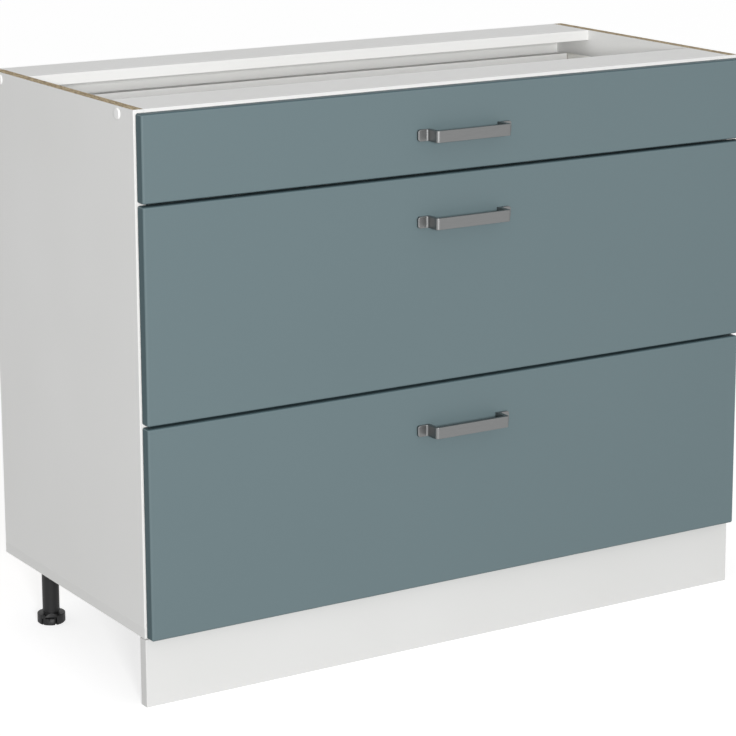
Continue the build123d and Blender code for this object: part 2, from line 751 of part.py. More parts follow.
    # ---- drawer back: coated board held by the ears of the sides ----
    with BuildPart() as drawer_back:
        board_block(2 * base_half, board, back_heights[number - 1], 0, back_middle, base_top)
        with Locations(*[facing(x, back_rear_face, z, (0, 1, 0)) for x, z in ear_screw_spots]):
            Hole(small_hole, small_length - sheet + hole_spare)
    save(drawer_back, f"drawer_back_{number}")

    # ---- front brackets: steel angles between the front and the drawer sides ----
    with BuildPart() as front_brackets:
        for sx in sides:
            with BuildSketch(Plane.XY.offset(bracket_bottom)):
                with BuildLine():
                    FilletPolyline(
                        (sx * (wall_inner - bracket_width), front_back_face),
                        (sx * wall_inner, front_back_face),
                        (sx * wall_inner, front_back_face + bracket_reach),
                        radius=bracket_bend,
                    )
                    offset(amount=bracket_sheet, side=Side.LEFT if sx > 0 else Side.RIGHT)
                make_face()
            extrude(amount=bracket_top - bracket_bottom)
        with Locations(*[facing(x, plate_face, z, (0, 1, 0)) for x, z in plate_screw_spots]):
            Hole(small_hole, bracket_sheet)
        with Locations(
            *[
                facing(sx * (wall_inner - bracket_sheet), rivet_y, z, (-sx, 0, 0))
                for sx in sides
                for z in bracket_zs
            ]
        ):
            Hole(rivet_hole, bracket_sheet)
    save(front_brackets, f"front_brackets_{number}")

    # ---- drawer screws and rivets ----
    with BuildPart() as drawer_screws:
        with Locations(*[facing(x, plate_face, z, (0, 1, 0)) for x, z in plate_screw_spots]):
            add(small_screw)
        with Locations(*[facing(x, side_rear_end, z, (0, 1, 0)) for x, z in ear_screw_spots]):
            add(small_screw)
        with Locations(*ledge_screw_spots):
            add(small_screw)
        with Locations(
            *[
                facing(sx * (wall_inner - bracket_sheet), rivet_y, z, (-sx, 0, 0))
                for sx in sides
                for z in bracket_zs
            ]
        ):
            add(rivet.part)
    save(drawer_screws, f"drawer_screws_{number}")

    # ---- gallery rails: rods in cups, above the sides of the two deep drawers ----
    if number > 1:
        rod_z = box_bottom + rod_rise
        rod_length = back_front_face - front_back_face - 2 * (cup_floor + rod_play)
        rod_rear_end = back_front_face - cup_floor - rod_play
        with BuildPart() as gallery_rails:
            for sx in sides:
                for face, toward in cup_faces:
                    with BuildSketch(Plane.XZ.offset(-face)):
                        with Locations((sx * rod_x, rod_z)):
                            Circle(cup_bore + cup_wall)
                    extrude(amount=-toward * cup_length)
                    with BuildSketch(Plane.XZ.offset(-face - toward * cup_floor)):
                        with Locations((sx * rod_x, rod_z)):
                            Circle(cup_bore)
                    extrude(amount=-toward * (cup_length - cup_floor), mode=Mode.SUBTRACT)
                with BuildSketch(Plane.XZ.offset(-rod_rear_end)):
                    with Locations((sx * rod_x, rod_z)):
                        Circle(rod_diameter / 2)
                extrude(amount=rod_length)
        save(gallery_rails, f"gallery_rails_{number}")
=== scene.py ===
import json
import math

import bmesh
import bpy
from mathutils import Matrix, Vector

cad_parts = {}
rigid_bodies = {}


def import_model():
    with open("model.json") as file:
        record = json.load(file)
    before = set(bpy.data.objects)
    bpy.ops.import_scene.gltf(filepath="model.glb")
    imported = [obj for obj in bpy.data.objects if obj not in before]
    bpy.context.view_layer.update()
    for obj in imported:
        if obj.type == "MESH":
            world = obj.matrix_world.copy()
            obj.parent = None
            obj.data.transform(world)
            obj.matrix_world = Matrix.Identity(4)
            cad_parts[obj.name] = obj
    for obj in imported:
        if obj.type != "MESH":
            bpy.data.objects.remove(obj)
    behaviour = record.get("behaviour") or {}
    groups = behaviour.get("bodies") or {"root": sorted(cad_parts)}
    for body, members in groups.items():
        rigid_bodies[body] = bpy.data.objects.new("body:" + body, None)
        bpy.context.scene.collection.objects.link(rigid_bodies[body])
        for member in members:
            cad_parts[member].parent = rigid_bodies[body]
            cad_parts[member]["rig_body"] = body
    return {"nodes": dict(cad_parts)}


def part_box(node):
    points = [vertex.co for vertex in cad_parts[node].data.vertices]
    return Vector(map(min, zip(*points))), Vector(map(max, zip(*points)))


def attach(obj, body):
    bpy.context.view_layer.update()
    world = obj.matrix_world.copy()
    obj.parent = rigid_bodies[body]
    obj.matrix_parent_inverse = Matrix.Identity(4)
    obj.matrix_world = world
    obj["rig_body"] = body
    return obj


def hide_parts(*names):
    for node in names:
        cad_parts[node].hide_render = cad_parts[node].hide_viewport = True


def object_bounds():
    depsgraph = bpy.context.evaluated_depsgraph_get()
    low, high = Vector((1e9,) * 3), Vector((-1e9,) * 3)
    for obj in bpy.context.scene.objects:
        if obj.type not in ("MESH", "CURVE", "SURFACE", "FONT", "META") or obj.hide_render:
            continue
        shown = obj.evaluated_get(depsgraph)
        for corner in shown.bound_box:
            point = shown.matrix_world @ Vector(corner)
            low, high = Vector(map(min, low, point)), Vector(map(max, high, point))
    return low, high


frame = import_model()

cad_low, cad_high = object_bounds()
nodes = frame["nodes"]
mm = 0.001

# ---- camera ----
# It stands where the photograph was taken from: in front, well to the left and above the
# top, with a long lens. The small shift only centres the cabinet in the square picture.
picture_side = 736
lens_in_pixels = 2721.1
camera_place = (-2.0647, -3.325, 1.3551)
camera_turn = 0.56767  # radians, from +Y towards +X
camera_tilt = 0.22126  # radians, down
camera_shift_x = -0.06
camera_shift_y = -0.1

camera_data = bpy.data.cameras.new("camera")
camera_data.lens = camera_data.sensor_width * lens_in_pixels / picture_side
camera_data.shift_x = camera_shift_x
camera_data.shift_y = camera_shift_y
camera = bpy.data.objects.new("camera", camera_data)
camera.location = camera_place
camera.rotation_euler = (math.pi / 2 - camera_tilt, 0, -camera_turn)
bpy.context.collection.objects.link(camera)
bpy.context.scene.camera = camera
bpy.context.scene.view_settings.view_transform = "Standard"


# ---- studio: floor, surrounding light and one soft lamp ----
# A pale seamless floor under an even white surround, and a small soft lamp some way off, low
# and on the camera's side: it lights the fronts most, and the inside through the open top.
def add_node(tree, kind, inputs, output=0, **settings):
    """Adds a shader node, sets it up, sets or links its inputs, and returns one of its outputs."""
    node = tree.nodes.new("ShaderNode" + kind)
    for name, value in settings.items():
        setattr(node, name, value)
    for name, value in inputs.items():
        if isinstance(value, bpy.types.NodeSocket):
            tree.links.new(value, node.inputs[name])
        else:
            node.inputs[name].default_value = value
    return node.outputs[output] if node.outputs else None


def linear(colour):
    """Linear RGBA of an sRGB hex colour such as "F0F0EE"."""
    parts = [int(colour[i : i + 2], 16) / 255 for i in (0, 2, 4)]
    return [c / 12.92 if c <= 0.04045 else ((c + 0.055) / 1.055) ** 2.4 for c in parts] + [1.0]


def seen_directly(tree):
    """Socket that is 1 where the camera, a reflection or a see-through piece looks at this."""
    seen = add_node(tree, "LightPath", {}, "Is Camera Ray")
    for ray in ("Is Glossy Ray", "Is Transmission Ray"):
        other = add_node(tree, "LightPath", {}, ray)
        seen = add_node(tree, "Math", {0: seen, 1: other}, operation="MAXIMUM")
    return seen


floor_side = 60.0
floor_grey = "B4B4B4"
floor_glow = 0.72  # brings the lit floor to white where it is seen
surround_strength = 0.58
lamp_distance = 7.0
lamp_side = 0.8
lamp_power = 310.0
lamp_direction = Vector((-0.38, -0.90, 0.196)).normalized()

floor_shape = bmesh.new()
bmesh.ops.create_grid(floor_shape, x_segments=1, y_segments=1, size=floor_side / 2)
floor_mesh = bpy.data.meshes.new("floor")
floor_shape.to_mesh(floor_mesh)
floor_shape.free()
floor = bpy.data.objects.new("floor", floor_mesh)
bpy.context.collection.objects.link(floor)

floor_paint = bpy.data.materials.new("studio_paper")
floor_paint.use_nodes = True
tree = floor_paint.node_tree
tree.nodes.clear()
glow = add_node(tree, "Math", {0: seen_directly(tree), 1: floor_glow}, operation="MULTIPLY")
glow_light = add_node(tree, "Emission", {"Strength": glow})
paper_shader = add_node(tree, "BsdfDiffuse", {"Color": linear(floor_grey)})
floor_light = add_node(tree, "AddShader", {0: paper_shader, 1: glow_light})
add_node(tree, "OutputMaterial", {"Surface": floor_light})
floor_mesh.materials.append(floor_paint)

world = bpy.data.worlds.new("surround")
world.use_nodes = True
bpy.context.scene.world = world
tree = world.node_tree
tree.nodes.clear()
white = linear("FFFFFF")
ambient = add_node(tree, "Background", {"Color": white, "Strength": surround_strength})
backdrop = add_node(tree, "Background", {"Color": white, "Strength": 1.0})
surround = add_node(tree, "MixShader", {0: seen_directly(tree), 1: ambient, 2: backdrop})
add_node(tree, "OutputWorld", {"Surface": surround})

lamp_data = bpy.data.lights.new("soft_lamp", "AREA")
lamp_data.shape = "SQUARE"
lamp_data.size = lamp_side
lamp_data.energy = lamp_power
lamp = bpy.data.objects.new("soft_lamp", lamp_data)
lamp.location = (cad_low + cad_high) / 2 + lamp_direction * lamp_distance
lamp.rotation_euler = lamp_direction.to_track_quat("Z", "Y").to_euler()
bpy.context.collection.objects.link(lamp)


# ---- carcass boards: sides, bottom, traverses and plinth ----
# White melamine-faced chipboard, 16 mm thick. Screws and dowels join the boards, and the plinth
# hangs on clips. Front edges are banded white; the sides' top edges and all rear edges are raw.
def new_material(name):
    """An empty material, its node tree, and the socket of the object coordinates in metres."""
    material = bpy.data.materials.new(name)
    material.use_nodes = True
    material.node_tree.nodes.clear()
    return material, material.node_tree, add_node(material.node_tree, "TexCoord", {}, "Object")


def dress(material, *names):
    """Gives these CAD nodes a material."""
    for name in names:
        nodes[name].material_slots[0].material = material


melamine_whites = ("EDEDEC", "E7E7E5")
bottom_whites = ("EAEAE9", "E4E4E2")  # the bottom comes from a greyer board
# painted shade: the plinth's whites are darker, for the shade under the overhanging fronts
plinth_painted_shade_whites = ("E0E0DF", "DADAD8")
white_drift = 200 * mm  # spacing of the faint drift between a board's two whites
melamine_roughness = 0.55
pearl_size = 2.2 * mm  # the pressed pearls are 0.5 mm; drawn coarser, so that they show
pearl_depth = 0.03 * mm
chip_pale = "C6B390"
chip_brown = "7B694C"
chip_length = 6.0 * mm
chip_thickness = 2.0 * mm
chip_depth = 0.15 * mm
raw_roughness = 0.9
paper = 0.3 * mm  # melamine paper, a white line beside a raw edge
edge_band = 1.0 * mm
edge_skin = 0.2 * mm  # how near to a face a point counts as part of it


def coated_board(name, thin_axis, whites, raw_faces, raw_limits=()):
    """Melamine-faced chipboard, thin along one axis, between two whites. raw_faces are (axis,
    place) of faces that show chips, inside the limits (axis, low, high). X counts unsigned."""
    # Pressed on in a pearl texture: an even white with a silky, broken shine. A raw edge is
    # dull and speckled with pale and brown chips, between the white lines of the papers.
    material, tree, place = new_material(name)
    cloud = {"Vector": place, "Scale": 1 / white_drift, "Detail": 1.0}
    cloud = add_node(tree, "TexNoise", cloud)
    white = {0: cloud, 6: linear(whites[0]), 7: linear(whites[1])}
    white = add_node(tree, "Mix", white, 2, data_type="RGBA")

    along = {axis: add_node(tree, "SeparateXYZ", {"Vector": place}, axis) for axis in "XYZ"}
    along["X"] = add_node(tree, "Math", {0: along["X"]}, operation="ABSOLUTE")
    raw = 0.0
    for axis, at in raw_faces:
        face = add_node(tree, "Math", {0: along[axis], 1: at, 2: edge_skin}, operation="COMPARE")
        raw = add_node(tree, "Math", {0: raw, 1: face}, operation="MAXIMUM")
    for axis, low, high in raw_limits:
        inside = {0: along[axis], 1: (low + high) / 2, 2: (high - low) / 2}
        inside = add_node(tree, "Math", inside, operation="COMPARE")
        raw = add_node(tree, "Math", {0: raw, 1: inside}, operation="MULTIPLY")

    per_metre = [1 / (chip_thickness if axis == thin_axis else chip_length) for axis in "XYZ"]
    flakes = add_node(tree, "Mapping", {"Vector": place, "Scale": per_metre})
    flakes = add_node(tree, "TexVoronoi", {"Vector": flakes, "Scale": 1.0}, "Color")
    flake_tone = add_node(tree, "SeparateXYZ", {"Vector": flakes})
    brown = {0: flake_tone, 6: linear(chip_pale), 7: linear(chip_brown)}
    brown = add_node(tree, "Mix", brown, 2, data_type="RGBA")
    colour = add_node(tree, "Mix", {0: raw, 6: white, 7: brown}, 2, data_type="RGBA")
    rough = {"Value": raw, "To Min": melamine_roughness, "To Max": raw_roughness}
    rough = add_node(tree, "MapRange", rough)

    pearls = add_node(tree, "TexNoise", {"Vector": place, "Scale": 1 / pearl_size})
    pearls = add_node(tree, "Math", {0: pearls, 1: pearl_depth / chip_depth}, operation="MULTIPLY")
    flake_height = add_node(tree, "Math", {0: flake_tone, 1: raw}, operation="MULTIPLY")
    height = add_node(tree, "Math", {0: pearls, 1: flake_height}, operation="ADD")
    bump = add_node(tree, "Bump", {"Height": height, "Distance": chip_depth, "Strength": 1.0})
    shader = {"Base Color": colour, "Roughness": rough, "Normal": bump}
    shader = add_node(tree, "BsdfPrincipled", shader)
    add_node(tree, "OutputMaterial", {"Surface": shader})
    return material


side_low, side_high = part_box("side_panel_right")
side_inside = [
    ("X", side_low.x + paper, side_high.x - paper),
    ("Y", side_low.y + edge_band, side_high.y + edge_skin),
]
side_raw = [("Y", side_high.y), ("Z", side_high.z)]
name = "melamine_chipboard_sides"
side_finish = coated_board(name, "X", melamine_whites, side_raw, side_inside)
dress(side_finish, "side_panel_left", "side_panel_right")

for name, whites in (
    ("bottom_panel", bottom_whites),
    ("front_traverse", melamine_whites),
    ("rear_traverse", melamine_whites),
):
    low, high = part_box(name)
    between = [("Z", low.z + paper, high.z - paper)]
    finish = coated_board(f"melamine_chipboard_{name}", "Z", whites, [("Y", high.y)], between)
    dress(finish, name)

# the plinth is dressed in the darker whites of the painted shade
dress(coated_board("melamine_chipboard_plinth", "Y", plinth_painted_shade_whites, []), "plinth_panel")

# ---- back panel ----
# A sheet of hardboard 3 mm thick, slid into grooves in the boards around it. Its inner face
# is lacquered white, and its rear face is left bare.
hardboard_pale = "A98B63"
hardboard_dark = "86683F"
hardboard_lacquer = "F4F4F2"
hardboard_roughness = 0.75
fibre_length = 6.0 * mm  # the fibres are under 1 mm; drawn as the tufts that they form
fibre_width = 1.2 * mm
fibre_depth = 0.1 * mm

# Pressed from wood fibres and lacquered on one face: a flat, dull white inside, and a warm
# brown behind, felted with short level strokes.
hardboard, tree, place = new_material("lacquered_hardboard")
back_low, back_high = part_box("back_panel")
depth = add_node(tree, "SeparateXYZ", {"Vector": place}, "Y")
half_way = (back_low.y + back_high.y) / 2
bare = add_node(tree, "Math", {0: depth, 1: half_way}, operation="GREATER_THAN")
tufts = {"Vector": place, "Scale": (1 / fibre_length, 1 / fibre_width, 1 / fibre_width)}
tufts = add_node(tree, "Mapping", tufts)
tufts = add_node(tree, "TexNoise", {"Vector": tufts, "Scale": 1.0, "Detail": 4.0})
brown = {0: tufts, 6: linear(hardboard_dark), 7: linear(hardboard_pale)}
brown = add_node(tree, "Mix", brown, 2, data_type="RGBA")
colour = {0: bare, 6: linear(hardboard_lacquer), 7: brown}
colour = add_node(tree, "Mix", colour, 2, data_type="RGBA")
height = add_node(tree, "Math", {0: tufts, 1: bare}, operation="MULTIPLY")
bump = add_node(tree, "Bump", {"Height": height, "Distance": fibre_depth, "Strength": 1.0})
shader = {"Base Color": colour, "Roughness": hardboard_roughness, "Normal": bump}
add_node(tree, "OutputMaterial", {"Surface": add_node(tree, "BsdfPrincipled", shader)})
dress(hardboard, "back_panel")

# ---- cover caps ----
# Round white plastic caps over the four screws in the sides: a thin disc with a rounded rim,
# held by a short stem that is pushed into the screw's socket.
merge_reach = 0.005 * mm
sharp_angle = 35  # degrees between faces, past which an edge is shaded sharp


def merged_copy(node):
    """The shape of a CAD node, its loose triangles joined."""
    shape = bmesh.new()
    shape.from_mesh(nodes[node].data)
    bmesh.ops.remove_doubles(shape, verts=shape.verts, dist=merge_reach)
    return shape


def add_piece(shape, name, material, slot, *replaced):
    """Makes a shape a smoothly shaded piece, in the place of CAD nodes of one body."""
    mesh = bpy.data.meshes.new(name)
    shape.to_mesh(mesh)
    shape.free()
    mesh.shade_smooth()
    mesh.set_sharp_from_angle(angle=math.radians(sharp_angle))
    mesh.materials.append(material)
    piece = bpy.data.objects.new(name, mesh)
    bpy.context.collection.objects.link(piece)
    even_shading = piece.modifiers.new("even_shading", "WEIGHTED_NORMAL")
    even_shading.keep_sharp = True
    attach(piece, nodes[replaced[0]]["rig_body"])
    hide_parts(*replaced)
    return piece


def head_spots(node):
    """For each fixing of a node: its outer end, the way its head points, and its length."""
    copy = merged_copy(node)
    left = set(copy.verts)
    spots = []
    while left:
        found = {left.pop()}
        edge = set(found)
        while edge:
            edge = {e.other_vert(v) for v in edge for e in v.link_edges} - found
            found |= edge
        left -= found
        points = [v.co.copy() for v in found]
        low = Vector(min(p[i] for p in points) for i in range(3))
        high = Vector(max(p[i] for p in points) for i in range(3))
        size, middle = high - low, (low + high) / 2
        small, mid, large = sorted(range(3), key=lambda i: size[i])
        axis = large if size[large] - size[mid] > size[mid] - size[small] else small
        out = Vector(i == axis for i in range(3))
        reach = [((p - middle).cross(out).length, (p - middle).dot(out)) for p in points]
        rim = max(r for r, along in reach) - merge_reach
        if sum(along for r, along in reach if r > rim) < 0:
            out.negate()
        spots.append((middle + out * size[axis] / 2, out, size[axis]))
    copy.free()
    return spots


def turned(profile, turns=32):
    """A shape spun about Z from its profile, points of (radius, height). A profile that
    leaves the axis at both ends is closed to a ring."""
    shape = bmesh.new()
    points = [shape.verts.new((radius, 0, height)) for radius, height in profile]
    ends = zip(points, points[1:] + points[:1])
    closed = profile[0][0] > 0 and profile[-1][0] > 0
    edges = [shape.edges.new(pair) for pair in list(ends)[: None if closed else -1]]
    spun = {"axis": (0, 0, 1), "angle": 2 * math.pi, "steps": turns, "use_merge": True}
    bmesh.ops.spin(shape, geom=points + edges, cent=(0, 0, 0), **spun)
    bmesh.ops.remove_doubles(shape, verts=shape.verts, dist=merge_reach)
    bmesh.ops.recalc_face_normals(shape, faces=shape.faces)
    return shape


def rounded(radius, top, rounding, steps=4):
    """Profile points of a convex quarter round at a rim, from the top face to the side."""
    turns = [math.pi / 2 * step / steps for step in range(steps + 1)]
    inner, under = radius - rounding, top - rounding
    return [(inner + rounding * math.sin(t), under + rounding * math.cos(t)) for t in turns]


def repeated(template, spots):
    """A shape with the template, which points up from z = 0, at each spot."""
    mesh = bpy.data.meshes.new("template")
    template.to_mesh(mesh)
    template.free()
    shape = bmesh.new()
    for place, out, length in spots:
        count = len(shape.verts)
        shape.from_mesh(mesh)
        turn = Matrix.Translation(place) @ out.to_track_quat("Z", "Y").to_matrix().to_4x4()
        bmesh.ops.transform(shape, matrix=turn, verts=list(shape.verts)[count:])
    bpy.data.meshes.remove(mesh)
    return shape


cap_radius = 7.75 * mm
cap_thickness = 2.2 * mm
cap_rounding = 1.5 * mm
cap_stem = 1.8 * mm  # radius
cap_length = 4.7 * mm
cap_white = "F4F4F3"
cap_roughness = 0.3
cap_mottle = 3.0 * mm  # faint unevenness of the moulding
cap_depth = 0.01 * mm

# Polystyrene, moulded in a polished tool: a clean white, brighter and glossier than the boards.
polystyrene, tree, place = new_material("moulded_polystyrene_white")
mottle = add_node(tree, "TexNoise", {"Vector": place, "Scale": 1 / cap_mottle})
bump = add_node(tree, "Bump", {"Height": mottle, "Distance": cap_depth, "Strength": 1.0})
shader = {"Base Color": linear(cap_white), "Roughness": cap_roughness, "Normal": bump}
add_node(tree, "OutputMaterial", {"Surface": add_node(tree, "BsdfPrincipled", shader)})

cap_profile = [(0, 0), *rounded(cap_radius, 0, cap_rounding), (cap_radius, -cap_thickness)]
cap_profile += [(cap_stem, -cap_thickness), (cap_stem, -cap_length), (0, -cap_length)]
caps = repeated(turned(cap_profile), head_spots("cover_caps"))
add_piece(caps, "screw_cover_caps", polystyrene, "cap_plastic", "cover_caps")

# ---- screws of the carcass, legs and rails ----
# Steel screws, plated with zinc: flat heads with a hexagon socket hold the boards together,
# pan heads with a cross recess hold the legs, the clips and the rails.
zinc_pale = "C9CCCE"
zinc_dark = "A3A49F"
zinc_roughness = 0.28
zinc_dulling = 0.15  # added roughness where the plating is pale
zinc_cloud = 4.0 * mm
zinc_grain = 0.8 * mm
zinc_depth = 0.01 * mm

# Steel with a thin electroplated coat: bright and bluish, with cloudy duller patches.
zinc, tree, place = new_material("zinc_plated_steel")
cloud = add_node(tree, "TexNoise", {"Vector": place, "Scale": 1 / zinc_cloud, "Detail": 3.0})
colour = {0: cloud, 6: linear(zinc_dark), 7: linear(zinc_pale)}
colour = add_node(tree, "Mix", colour, 2, data_type="RGBA")
rough = {"Value": cloud, "To Min": zinc_roughness, "To Max": zinc_roughness + zinc_dulling}
rough = add_node(tree, "MapRange", rough)
grain = add_node(tree, "TexNoise", {"Vector": place, "Scale": 1 / zinc_grain})
bump = add_node(tree, "Bump", {"Height": grain, "Distance": zinc_depth, "Strength": 1.0})
shader = {"Base Color": colour, "Metallic": 1.0, "Roughness": rough, "Normal": bump}
add_node(tree, "OutputMaterial", {"Surface": add_node(tree, "BsdfPrincipled", shader)})

screw_turns = 24
recess_taper = 0.7  # size of a recess at its floor


def cross(reach, width):
    """Outline of a cross recess."""
    a, b = reach, width / 2
    arm = [(a, -b), (a, b), (b, b)]
    quarter_turns = [arm]
    for _ in range(3):
        quarter_turns.append([(-y, x) for x, y in quarter_turns[-1]])
    return [point for quarter in quarter_turns for point in quarter]


def hexagon(across_flats):
    """Outline of a hexagon socket."""
    turns = [math.pi / 3 * side for side in range(6)]
    radius = across_flats / 2 / math.cos(math.pi / 6)
    return [(radius * math.cos(t), radius * math.sin(t)) for t in turns]


def screw(head, head_height, rounding, shank, length, recess, recess_depth):
    """Screw that points down from z = 0, with a recess of this outline in its head."""
    flat = head / 2 - rounding
    profile = rounded(head / 2, 0, rounding) + [(head / 2, -head_height)]
    profile += [(shank / 2, -head_height), (shank / 2, -length), (0, -length)]
    shape = turned(profile, screw_turns)
    rim = [e for e in shape.edges if e.is_boundary]
    corners = [shape.verts.new((x, y, 0)) for x, y in recess]
    outline = [shape.edges.new(pair) for pair in zip(corners, corners[1:] + corners[:1])]
    bmesh.ops.triangle_fill(shape, edges=rim + outline, use_beauty=True)
    walls = bmesh.ops.extrude_edge_only(shape, edges=outline)["geom"]
    floor_corners = [v for v in walls if isinstance(v, bmesh.types.BMVert)]
    bmesh.ops.translate(shape, vec=(0, 0, -recess_depth), verts=floor_corners)
    bmesh.ops.scale(shape, vec=(recess_taper, recess_taper, 1), verts=floor_corners)
    loop = [e for e in shape.edges if all(v in floor_corners for v in e.verts)]
    bmesh.ops.edgeloop_fill(shape, edges=loop)
    bmesh.ops.recalc_face_normals(shape, faces=shape.faces)
    return shape


board_screw = {
    "head": 10 * mm,
    "head_height": 3 * mm,
    "rounding": 0.3 * mm,
    "shank": 7 * mm,
    "length": 50 * mm,
    "recess": hexagon(across_flats=4 * mm),
    "recess_depth": 3 * mm,
}
leg_screw = {
    "head": 7 * mm,
    "head_height": 1.6 * mm,
    "rounding": 1 * mm,
    "shank": 3.5 * mm,
    "length": 13.6 * mm,
    "recess": cross(reach=1.9 * mm, width=0.8 * mm),
    "recess_depth": 1 * mm,
}
rail_screw = {
    "head": 9 * mm,
    "head_height": 1 * mm,
    "rounding": 0.6 * mm,
    "shank": 5 * mm,
    "length": 13 * mm,
    "recess": cross(reach=2.2 * mm, width=0.9 * mm),
    "recess_depth": 0.9 * mm,
}
for node, sizes in (
    ("carcass_screws", board_screw),
    ("leg_screws", leg_screw),
    ("rail_screws", rail_screw),
):
    screws = repeated(screw(**sizes), head_spots(node))
    add_piece(screws, f"recessed_{node}", zinc, "zinc_steel", node)

# ---- dowels ----
# Beech dowels beside the screws, 8 mm thick, turned from a rod and glued into blind holes.
# They keep the boards in line.
beech_pale = "D9B98C"
beech_dark = "BE9463"
beech_fleck = 0.8 * mm
beech_roughness = 0.6

# Turned beech: a warm tan with short darker flecks, and no shine.
beech, tree, place = new_material("turned_beech")
flecks = add_node(tree, "TexNoise", {"Vector": place, "Scale": 1 / beech_fleck, "Detail": 3.0})
colour = {0: flecks, 6: linear(beech_dark), 7: linear(beech_pale)}
colour = add_node(tree, "Mix", colour, 2, data_type="RGBA")
shader = {"Base Color": colour, "Roughness": beech_roughness}
add_node(tree, "OutputMaterial", {"Surface": add_node(tree, "BsdfPrincipled", shader)})
dress(beech, "dowels")

# ---- legs, feet and plinth clips ----
# Moulded black plastic. A leg's plate is screwed under the bottom panel, and its foot turns
# in its bore on a spindle. The plinth's clips snap round the two front legs.
plastic_black = "131314"
plastic_grey = "1A1A1B"
plastic_roughness = 0.5
plastic_sheen = 0.36  # specular level: the grain mirrors less than smooth plastic
plastic_grain = 0.9 * mm  # the grain is 0.1 mm; drawn coarser, so that it shows
plastic_depth = 0.02 * mm

# Polypropylene, moulded in a spark-eroded tool: a grainy black that greys where it is lit.
polypropylene, tree, place = new_material("moulded_polypropylene_black")
grain = add_node(tree, "TexNoise", {"Vector": place, "Scale": 1 / plastic_grain, "Detail": 3.0})
colour = {0: grain, 6: linear(plastic_black), 7: linear(plastic_grey)}
colour = add_node(tree, "Mix", colour, 2, data_type="RGBA")
bump = add_node(tree, "Bump", {"Height": grain, "Distance": plastic_depth, "Strength": 1.0})
shader = {"Base Color": colour, "Roughness": plastic_roughness, "Normal": bump}
shader["Specular IOR Level"] = plastic_sheen
add_node(tree, "OutputMaterial", {"Surface": add_node(tree, "BsdfPrincipled", shader)})

add_piece(merged_copy("legs"), "leg_tubes", polypropylene, "leg_plastic", "legs")
add_piece(merged_copy("plinth_clips"), "snap_clips", polypropylene, "leg_plastic", "plinth_clips")
for corner in ("front_left", "front_right", "rear_left", "rear_right"):
    wheel = merged_copy(f"foot_{corner}")
    add_piece(wheel, f"grip_wheel_{corner}", polypropylene, "leg_plastic", f"foot_{corner}")

# ---- runners: cabinet rails and rollers ----
# Roll-formed steel channels, screwed to the side panels, one left and one right for each
# drawer. One pair of plastic rollers turns on the channels and one pair on the drawer.
coat_white = "E6E5E0"
coat_roughness = 0.38
coat_unevenness = 0.05  # of the roughness, either way
coat_peel = 1.5 * mm
coat_depth = 0.02 * mm

# Powder sprayed on steel and baked: a creamy white with a soft shine and a faint orange peel.
powder_coat, tree, place = new_material("powder_coated_steel")
peel = add_node(tree, "TexNoise", {"Vector": place, "Scale": 1 / coat_peel})
smoothest = coat_roughness - coat_unevenness
roughest = coat_roughness + coat_unevenness
rough = add_node(tree, "MapRange", {"Value": peel, "To Min": smoothest, "To Max": roughest})
bump = add_node(tree, "Bump", {"Height": peel, "Distance": coat_depth, "Strength": 1.0})
shader = {"Base Color": linear(coat_white), "Roughness": rough, "Normal": bump}
add_node(tree, "OutputMaterial", {"Surface": add_node(tree, "BsdfPrincipled", shader)})

roller_milk = "E9E4D6"
roller_shade = "DDD6C4"
roller_roughness = 0.35
roller_cloud = 6.0 * mm

# Undyed polyamide, moulded: milky, slightly yellow and smooth, so that it glints softly.
polyamide, tree, place = new_material("moulded_polyamide_natural")
cloud = add_node(tree, "TexNoise", {"Vector": place, "Scale": 1 / roller_cloud})
colour = {0: cloud, 6: linear(roller_milk), 7: linear(roller_shade)}
colour = add_node(tree, "Mix", colour, 2, data_type="RGBA")
shader = {"Base Color": colour, "Roughness": roller_roughness}
add_node(tree, "OutputMaterial", {"Surface": add_node(tree, "BsdfPrincipled", shader)})

roller_radius = 11 * mm
roller_width = 7 * mm
roller_bore = 3.05 * mm  # radius, as are the two below
roller_hub = 4.8 * mm
roller_rim = 9 * mm  # inside of the rim
roller_web = 0.9 * mm  # web below the faces of hub and rim
roller_rounding = 0.8 * mm
half = roller_width / 2
web_top = half - roller_web
web_slope = roller_web / 2
roller_top = [(roller_bore, half), (roller_hub, half), (roller_hub + web_slope, web_top)]
roller_top += [(roller_rim - web_slope, web_top), (roller_rim, half)]
roller_top += rounded(roller_radius, half, roller_rounding)
roller_profile = roller_top + [(radius, -height) for radius, height in reversed(roller_top)]

for number in (1, 2, 3):
    for side in ("left", "right"):
        node = f"cabinet_rail_{side}_{number}"
        add_piece(merged_copy(node), f"channel_{side}_{number}", powder_coat, "coated_steel", node)
    for carrier in ("cabinet", "drawer"):
        node = f"{carrier}_rollers_{number}"
        middles = [(end - out * length / 2, out, length) for end, out, length in head_spots(node)]
        rollers = repeated(turned(roller_profile), middles)
        add_piece(rollers, f"running_{node}", polyamide, "roller_nylon", node)

# ---- drawer fronts ----
# Boards 16 mm thick under a blue-grey foil, which was heated and drawn over their rounded
# edges. Each is screwed to its drawer from behind, where its plain white backing shows.
front_colour = "67787C"
front_shade = "65767A"
# painted shade for the ends, top and bottom of each front, and so for the gaps between the fronts
front_painted_edge_shade = "4E6166"
side_shade_inset = 0.2 * mm  # how far inside a front's ends the painted edge shade begins
top_shade_inset = 1.2 * mm  # the same below its top and above its bottom
front_rounding = 3 * mm
front_round_segments = 6
front_back_edge = 0.4 * mm
front_roughness = 0.45
front_sheen = 0.3  # specular level: the embossed foil mirrors less than a smooth plastic
# a lower specular level on the painted-shade edges, so that they stay dark
shaded_edge_sheen = 0.06
front_drift = 250 * mm  # spacing of the faint drift between the two colours
front_grain = 1.8 * mm  # the foil's grain is 0.3 mm; drawn coarser, so that it shows
front_depth = 0.012 * mm
backing_white = "E4E4E2"
backing_start = 0.5 * mm
